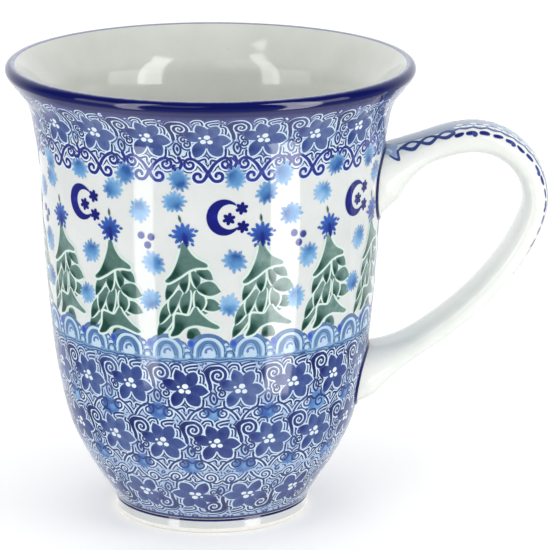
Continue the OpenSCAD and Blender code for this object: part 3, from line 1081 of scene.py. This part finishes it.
def scallop():
    """One arch of the border under the trees: rings of blue and white, and pebbles beside them."""
    made = Motif()
    arch = [(-5.6, -0.4), (-4.7, 1.5), (-2.8, 3.1), (-0.2, 3.7), (2.3, 3.1), (4.3, 1.5), (5.6, -0.4)]
    wash = arch + [(5.6, -3.6), (0, -3.7), (-5.6, -3.6)]
    made.add("border_wash", WASH, fill(through(wash, True, 0.5)), ((-4.5, 1.0), 2.4, 0.55))
    made.line("border_arcs", CURLS, arch, 0.9, 0.7, 0.7)
    rings = [
        # piece, width of its line, half its span, how high it rises
        ("border_lines", 0.36, 4.3, 3.15),
        ("border_white", 0.85, 3.7, 2.65),
        ("border_arcs", 0.75, 2.75, 1.95),
        ("border_lines", 0.34, 2.2, 1.45),
    ]
    for paint_name, width, reach, rise in rings:
        ring = [(-reach, -2.7), (-reach * 0.92, rise - 2.4), (-reach * 0.5, rise - 0.5), (0.1, rise),
                (reach * 0.55, rise - 0.6), (reach * 0.95, rise - 2.6), (reach, -2.7)]
        made.line(paint_name, LINES, ring, width, 0.6, 0.8)
    middle = [(-1.5, -2.7), (-1.5, -0.5), (0, 0.6), (1.5, -0.6), (1.6, -2.7)]
    made.add("border_white", LINES, fill(through(middle, True)))
    hook = [(1.1, -0.9), (0.5, -0.1), (-0.6, -0.5), (-0.7, -1.6)]
    made.line("border_curls", PETALS, hook, 0.7, 0.5, 1.5)
    for x, y, radius in ((4.7, 0.9, 0.5), (6.3, 0.7, 0.55), (5.5, -0.5, 0.75), (4.5, -1.6, 0.5),
                         (6.8, -1.5, 0.5), (5.6, -2.2, 0.7), (-2.1, -2.5, 0.35), (2.2, -2.2, 0.35)):
        made.add("border_white", LINES, fill(disc((x, y), radius, 0.85, 10), 0.5))
    lines = [[(3.9, 2.2), (5.0, 1.6), (5.6, 0.6)], [(4.5, -2.8), (4.9, -1.2), (6.3, -1.0), (6.9, -2.8)]]
    for y in (-3.15, -3.85):
        lines.append([(-5.7, y), (-2.9, y - 0.3), (0, y + 0.1), (2.8, y - 0.3), (5.7, y)])
    for points in lines:
        made.line("border_lines", PETALS, points, 0.4)
    made.dot("border_dabs", DOTS, (-4.6, 1.2), 1.05, 1.2, pool=((-4.6, 1.2), 0.9, 0.3))
    return made


# --- motifs on the handle ---

def chain(first, link, links):
    """Two navy strands wound round each other, with pale lozenges between them."""
    made = Motif()
    run = np.linspace(0, links, 12 * links + 1)
    for way in (-1, 1):
        strand = [(first + link * s, 1.55 * way * math.sin(math.pi * s) * (1 - 0.1 * s)) for s in run]
        made.line("handle_lines", LINES, strand, 1.0, 1.3, 1.2)
    for k in range(links):
        middle = first + link * (k + 0.5)
        lozenge = leaf((middle - 0.5 * link, 0), (middle + 0.5 * link, 0), 3.1)
        made.add("handle_pale", WASH + OVER_WASH, fill(lozenge, 0.7))
        made.add("handle_lines", PETALS, fill(disc((first + link * k, 0), 0.95, 0.8, 10), 0.6))
    return made


def paint_root(side):
    """Pale blue brushed over one corner of the upper root, drawn out to a point."""
    patch = [(4.0, 3.0), (5.2, 6.2), (6.8, 7.7), (8.0, 9.2), (9.0, 8.6), (9.2, 6.8), (9.8, 5.0), (9.2, 3.0)]
    edge = [(6.9, 7.7), (7.7, 9.0), (8.7, 9.3), (9.1, 8.2), (9.4, 7.2), (10.4, 6.6)]
    gleam = [(7.1, 4.8), (7.6, 6.1), (7.9, 7.4)]
    patch, edge, gleam = ([(x, side * y) for x, y in line] for line in (patch, edge, gleam))
    root = Motif()
    root.add("handle_patch", HALOS, fill(through(patch, True, 0.4), 0.5), ((8.6, side * 9.5), 2.0, 0.4))
    root.line("handle_lines", LINES, edge, 0.6, 0.5, 1.3, (edge[1], 1.5, 0.3))
    root.line("handle_pale", LINES, gleam, 0.8, 0.6, 0.6)
    return root


def paint_strap(painting):
    """The band down the handle's spine: a chain from the root, then dashes each side of a pale stripe."""
    # In mm from the upper root: the chain's start, a link's length, and the number of links
    first, link, links = 10.8, 4.6, 3
    # Where the dashes start, and where the stripe ends
    start, stop = first + link * links - 0.6, 96
    stripe = np.linspace(1, stop, 90)
    half = np.interp(stripe, [1, 8, start, stop - 30, stop], [3.0, 4.0, 5.4, 4.4, 1.0])
    outline = np.concatenate([np.stack([stripe, -half], axis=1), np.stack([stripe, half], axis=1)[::-1]])
    painting.lay_on_strap(Motif().add("handle_wash", WASH, fill(outline, 1.1)), 0)
    oval = fill(leaf((-0.85, 0), (0.85, 0), 1.25, 0, (0.5, 0.5)), 0.6)
    for side in (-1, 1):
        painting.lay_on_strap(paint_root(side), 0)
        painting.lay_on_strap(chain(first, link, links), 0, side * 6.5, 0, 1, 0.6 + jitter(0.08))
        line = []
        for x in np.arange(start - 3, stop - 1, 1.6):
            edge = float(np.interp(x, stripe, half)) + 0.3 * (-1)**len(line) + jitter(0.06)
            line.append((x, side * edge))
        edging = Motif().line("handle_lines", LINES, line, 0.75, 1.3, 0.6)
        painting.lay_on_strap(edging, 0, tone=0.35)
    at, k = start + 1.2, 0
    while at < stop - 4:
        load = np.interp(at, [start, 60, stop], [0.8, 0.55, 0.15])
        size = np.interp(at, [start, 60, stop], [1, 0.95, 0.6])
        spread = float(np.interp(at, stripe, half))
        for side in (-1, 1):
            bend = jitter(0.15)
            dash = fill(leaf((-1.35, 0), (1.35, 0.1), 1.35 + jitter(0.12), bend, (0.25, 0.35)), 0.6)
            stamp = Motif().add("handle_dashes", PETALS, dash, ((-0.5, 0), 0.8, 0.3))
            if k % 3 == 1:
                stamp.add("handle_dashes", PETALS, fill(disc((0.9, 0.3 * side), 0.72, 1, 10), 0.6))
            painting.lay_on_strap(stamp, at + jitter(0.15), side * (spread + 2.3), jitter(5), size,
                                  load + jitter(0.1))
            marks = Motif().add("handle_pale", CURLS, oval)
            for step, inward in ((0, 1.15), (1.6, 1.3), (0.7, 2.9)):
                painting.lay_on_strap(marks, at + step + jitter(0.12), side * (spread - inward),
                                      jitter(20), size)
            drop = Motif().add("handle_lines", LINES, fill(disc((0, 0), 0.5, 0.8, 9), 0.5))
            painting.lay_on_strap(drop, at + 1.9 + jitter(0.2), side * (spread - 2.2), 0, size, 0.4)
        at, k = at + 3.2, k + 1


# --- the painting on the cup ---

def paint_zone(painting, piece, low, high, layer, tones, wave=0.0, step=0.8):
    """A wash right round the cup between two heights; wave is how far its lower edge wanders."""
    waves = 20
    rows = max(3, round((high - low) / step))
    a = round_angles(BAND_SIDES)
    wander = wave * (0.5 - 0.5 * np.cos(waves * a)) + 0.25 * wave * np.sin(7 * a + 1)
    points, normals = [], []
    for s in np.linspace(0, 1, rows):
        z = low + wander * (1 - s) + (high - low) * s
        spots, facing = on_wall(a, z, 0 * a, 0 * a, layer)
        points.append(spots)
        normals.append(facing)
    painting.keep_band(piece, points, normals, tones)


def fill_ground(painting, low, high, avoid, piece="ground_curls", gap=0.2, largest=1.1):
    """Packs marks between two heights, the largest first, clear of what is painted already."""
    grain, smallest, overlap = 0.62, 0.26, 0.86
    curl_from, wisp_from = 0.75, 0.45
    busy = np.concatenate([p for name in avoid for p in painting.skins[name]["points"]])
    busy = busy[(busy[:, 2] > low - 2) & (busy[:, 2] < high + 2)]
    tree = KDTree(len(busy))
    for k, p in enumerate(busy):
        tree.insert(p, k)
    tree.balance()
    spots, level = [], low
    while level < high:
        count = round(math.tau * float(outside.radius(level)) / grain)
        angles = math.tau * (np.arange(count) + rng.uniform(-0.4, 0.4, count)) / count
        heights = outside.height(level, rng.uniform(-0.3, 0.3, count))
        places = on_wall(angles, heights, 0 * angles, 0 * angles, 0)[0]
        for angle, height, place in zip(angles, heights, places):
            room = min(largest, tree.find(place)[2] - gap)
            if room > smallest:
                spots.append((room * rng.uniform(0.9, 1), room, angle, height, place))
        level = float(outside.height(level, grain))
    spots.sort(key=lambda spot: -spot[0])
    taken, cell = {}, 2 * largest + gap
    curls, wisps, dots = ground_marks(piece)
    for order, room, angle, height, place in spots:
        home = tuple(np.floor(place / cell).astype(int))
        near = [other for i in (-1, 0, 1) for j in (-1, 0, 1) for k in (-1, 0, 1)
                for other in taken.get((home[0] + i, home[1] + j, home[2] + k), ())]
        if any(((place - spot)**2).sum() < (overlap * (room + reach))**2 for spot, reach in near):
            continue
        taken.setdefault(home, []).append((place, room))
        kind = curls if room > curl_from else wisps if room > wisp_from else dots
        mark = kind[rng.integers(len(kind))]
        painting.lay(mark, math.degrees(angle), height, 0, room, rng.uniform(0.3, 0.6))


def jitter(size):
    """A random slip of the hand, size being its usual amount."""
    return float(rng.normal(0, size))


def paint_flower_row(painting, count, first, height, upside_down=False, pendants=False, dabs=False):
    """A row of flowers stamped round the cup, with filigree between them."""
    pitch = math.tau * float(outside.radius(height)) / count
    ground = filigree(pitch)
    bloom = flower()
    stems = add_pendant(add_snails(Motif(), "pendants", 0.85)) if pendants else add_snails(Motif())
    for k in range(count):
        degrees = first + 360 * k / count + jitter(0.35)
        level = height + jitter(0.25)
        turn = (180 if upside_down else 0) + jitter(2.0)
        load = 0.4 + jitter(0.09)
        painting.lay(bloom, degrees, level, turn, 1.0, load)
        painting.lay(stems, degrees, level, turn, 1.0, 0.5 + jitter(0.16))
        painting.lay(ground, degrees, level, turn, 1.0, 0.5 + jitter(0.12))
        if dabs:
            middle = degrees + 180 / count
            uneven = disc((0, 0), 2.9, 0.9, 8) + rng.normal(0, 0.25, (8, 2))
            blob = fill(through(uneven, True))
            dab = Motif().add("blue_dabs", HALOS + OVER_HALOS, blob, ((0.6, -0.4), 1.5, -0.4))
            painting.lay(dab, middle + jitter(0.8), level - 7.0, 0, 1 + jitter(0.08), 0.5 + jitter(0.2))


def paint_wood(painting):
    """Fourteen firs; moons and berries take turns between them, with stars all round."""
    trees = 14
    pitch = 360 / trees
    tree, top, crescent, dots = fir(), tree_star(), moon(), berries()

    def star(degrees, height, radius, load):
        painting.lay(burst(radius), degrees + jitter(0.7), height + jitter(0.6), 0, 1, load + jitter(0.13))

    for k in range(trees):
        at = -7.7 + pitch * k
        shift = jitter(0.5)
        painting.lay(tree, at + shift, 86.4 + jitter(0.4), jitter(1.2), 1 + jitter(0.012),
                     0.45 + jitter(0.07))
        painting.lay(top, at + shift, 89.6 + jitter(0.4), jitter(8), 1, 0.5 + jitter(0.08))
        gap = at + pitch / 2
        star(gap + 3.0, 82.0, 3.2, 0.36)
        star(gap + 0.8, 70.6, 3.0, 0.3)
        if k % 2 == 0:
            painting.lay(crescent, gap, 94.9 + jitter(0.3), jitter(2.5), 1, 0.75 + jitter(0.06))
            star(at - 4.2, 98.3, 3.1, 0.4)
        else:
            painting.lay(dots, gap, 88.0 + jitter(0.4), jitter(6), 1, 0.55 + jitter(0.1))
            star(at + 1.5, 101.0, 3.1, 0.4)
            star(gap - 2.6, 95.4, 3.1, 0.33)


def paint_upper_stars(painting, count, first, height):
    """A row of burst stars round the cup, just under the upper flowers."""
    for k in range(count):
        painting.lay(burst(3.1), first + 360 * k / count + jitter(0.9), height + jitter(0.5), 0, 1,
                     0.5 + jitter(0.13))


def paint_border(painting, count, height):
    """The border of scallops round the cup, under the trees."""
    arch = scallop()
    for k in range(count):
        painting.lay(arch, 360 * k / count, height + jitter(0.12), jitter(0.8), 1, 0.4 + jitter(0.1))


def paint_ring(painting, piece, rows, layer, tones):
    """A band right round the cup, through rows of (radius, height, tilt in degrees)."""
    a = round_angles(BAND_SIDES)
    points, normals = [], []
    for r, z, tilt in rows:
        out, up = math.cos(math.radians(tilt)), math.sin(math.radians(tilt))
        r, z = r + layer * out, z + layer * up
        points.append(around(r, a, z))
        normals.append(around(out, a, up))
    painting.keep_band(piece, points, normals, tones)


def wall_rows(low, high, count):
    """Rows for paint_ring up the wall, or up the foot ring below it."""
    rows = []
    for z in np.linspace(low, high, count):
        on_foot = z < outside.z[0]
        tilt = 0 if on_foot else -math.degrees(math.atan(outside.lean(z)))
        rows.append((float(outside.radius(z)), z, tilt))
    return rows


def paint_rim(painting):
    """Cobalt over the lip, with a painted highlight where it runs thin on its crest, brushed out below it in
    a purple wash.
    """
    top, steps, past_crest = outside.z[-1], 26, 116
    tilts = np.linspace(LIP_START, past_crest, steps)
    lip = [(r, z, tilt) for (r, z), tilt in zip(lip_outline(LIP_START, past_crest, steps), tilts)]
    # Low tones past the crest make it pale: partly thin cobalt, partly a painted highlight on the crest.
    tones = [0.5, 0.85, 0.95, 0.95, 0.85, 0.4, 0.06, 0.0]
    paint_ring(painting, "rim_band", wall_rows(top - 0.5, top - 0.1, 2) + lip, PETALS, tones)
    tones = [0.0, 0.3, 0.65, 0.9, 1.0]
    paint_zone(painting, "rim_wash", top - 4.5, top - 0.1, WASH + OVER_WASH, tones, 1.7, 0.3)
    avoid = ("petals", "filigree", "echo_lines")
    fill_ground(painting, top - 4.9, top - 1.6, avoid, "white_curls", 0.25, 1.0)


FLOWERS = ("petals", "white_dots", "filigree", "echo_lines")


def paint_cup(painting):
    """The cup's painting; what is packed into the ground comes after what it has to avoid."""
    paint_flower_row(painting, 20, -0.7, 115.8, pendants=True)
    paint_zone(painting, "field_wash", 108.4, 122.6, WASH, [0.1, 0.5, 0.6, 0.6], 3.4)
    paint_rim(painting)
    fill_ground(painting, 109.4, 119.2, FLOWERS + ("pendants",))
    paint_upper_stars(painting, 20, 8.3, 105.2)
    paint_wood(painting)
    paint_border(painting, 25, 58.0)
    paint_flower_row(painting, 18, 11.1, 46.6, dabs=True)
    paint_flower_row(painting, 17, 2.8, 30.2, dabs=True)
    paint_flower_row(painting, 14, -7.0, 12.8, upside_down=True)
    paint_zone(painting, "field_wash", 4.7, 54.6, WASH, [0.55, 0.5, 0.5, 0.5])
    fill_ground(painting, 5.6, 53.6, FLOWERS)
    paint_ring(painting, "foot_line", wall_rows(3.5, 5.1, 7), STARS, [0.5, 0.9, 0.9, 0.5])


PAINTS = {
    # piece: thin, body and deep colour, and the width of its soft edge in mm
    "field_wash": ("#c4d8e4", "#a6bdd8", "#869ec8", 0.5),
    "ground_curls": ("#6a78a8", "#384680", "#182460", 0.16),
    "border_curls": ("#8297c0", "#5a74ac", "#2c4a90", 0.2),
    "handle_pale": ("#c9d8e6", "#dde6ea", "#e9edec", 0.25),
    # rim_band's thin colour lights the lip's crest, partly as a painted highlight.
    "rim_band": ("#828ba4", "#060c58", "#020a4e", 0.3),
    "rim_wash": ("#8f9ac4", "#454886", "#22245e", 0.3),
    "foot_line": ("#3f4596", "#1c2069", "#12144c", 0.3),
    "white_halos": ("#b6cce2", "#c8daea", "#d8e5ea", 0.3),
    "petals": ("#64749c", "#364a84", "#152066", 0.3),
    "filigree": ("#5e6e9a", "#2c3b74", "#121c58", 0.16),
    "echo_lines": ("#5e6e9a", "#2c3b74", "#121c58", 0.16),
    "pendants": ("#646cae", "#2a2f80", "#121562", 0.25),
    "white_dots": ("#c8d6e4", "#d8e2ea", "#e4eaec", 0.2),
    "white_curls": ("#aebfdc", "#c6d5ea", "#d6e2ec", 0.3),
    "blue_dabs": ("#78a8d2", "#4068aa", "#223f90", 0.9),
    "burst_stars": ("#9cc0e0", "#598dbe", "#265294", 0.7),
    "tree_stars": ("#6a8fcc", "#3059a8", "#162f80", 0.3),
    "tree_star_strokes": ("#3350a4", "#15277f", "#0c1560", 0.3),
    "moons": ("#2c3ea8", "#04107a", "#020a56", 0.3),
    "berries": ("#7c84b4", "#4c5698", "#262e7c", 0.4),
    "fir_leaves": ("#9ab0ac", "#55756f", "#0c3a32", 0.3),
    "fir_lines": ("#d4e4de", "#c8dcd4", "#b8d2c8", 0.25),
    "border_wash": ("#93b4d0", "#7097bd", "#416ba2", 0.5),
    "border_arcs": ("#6c8db2", "#466a9a", "#2b4d86", 0.4),
    "border_dabs": ("#6f90d2", "#3a5cb2", "#1f3a98", 0.5),
    "border_lines": ("#5f82ac", "#3a5a8c", "#243c74", 0.15),
    "border_white": ("#a8c0d8", "#b4cadd", "#c6d9e2", 0.3),
    "handle_wash": ("#a6b6c4", "#8c9eb4", "#687ea2", 0.6),
    "handle_patch": ("#c4d2e2", "#abbfd8", "#7f9bc4", 0.5),
    "handle_lines": ("#7484ae", "#3a4a84", "#1c2868", 0.2),
    "handle_dashes": ("#7482b8", "#344090", "#1a2170", 0.3),
}


# --- the scene ---

def add_floor():
    """A sheet of paper 8 m wide, left out of reflections."""
    corners = ((-4, -4), (4, -4), (4, 6), (-4, 6))
    mesh = bpy.data.meshes.new("floor")
    mesh.from_pydata([(x, y, 0) for x, y in corners], [], [(0, 1, 2, 3)])
    mesh.materials.append(floor_paper())
    floor = add_object("floor", mesh)
    floor.visible_glossy = False


add_camera()
add_lights()
add_room()
add_floor()
make_cup()
make_handle()
cobalt = paint("cobalt", "#343f94", "#0f1968", "#080f46", 0.25)
make_slip_bead("upper_slip_line", 0, "upper_luting_seam", cobalt)
make_slip_bead("lower_slip_line", 1, "lower_luting_seam", cobalt)
cup_painting, strap_painting = Painting(), Painting()
paint_cup(cup_painting)
paint_strap(strap_painting)
paints = {piece: paint(piece, *PAINTS[piece]) for piece in PAINTS}
for piece in cup_painting.skins:
    cup_painting.make(piece, piece, paints[piece], "cup_glaze")
for piece in strap_painting.skins:
    strap_painting.make(piece, "strap_" + piece, paints[piece], "handle_glaze")
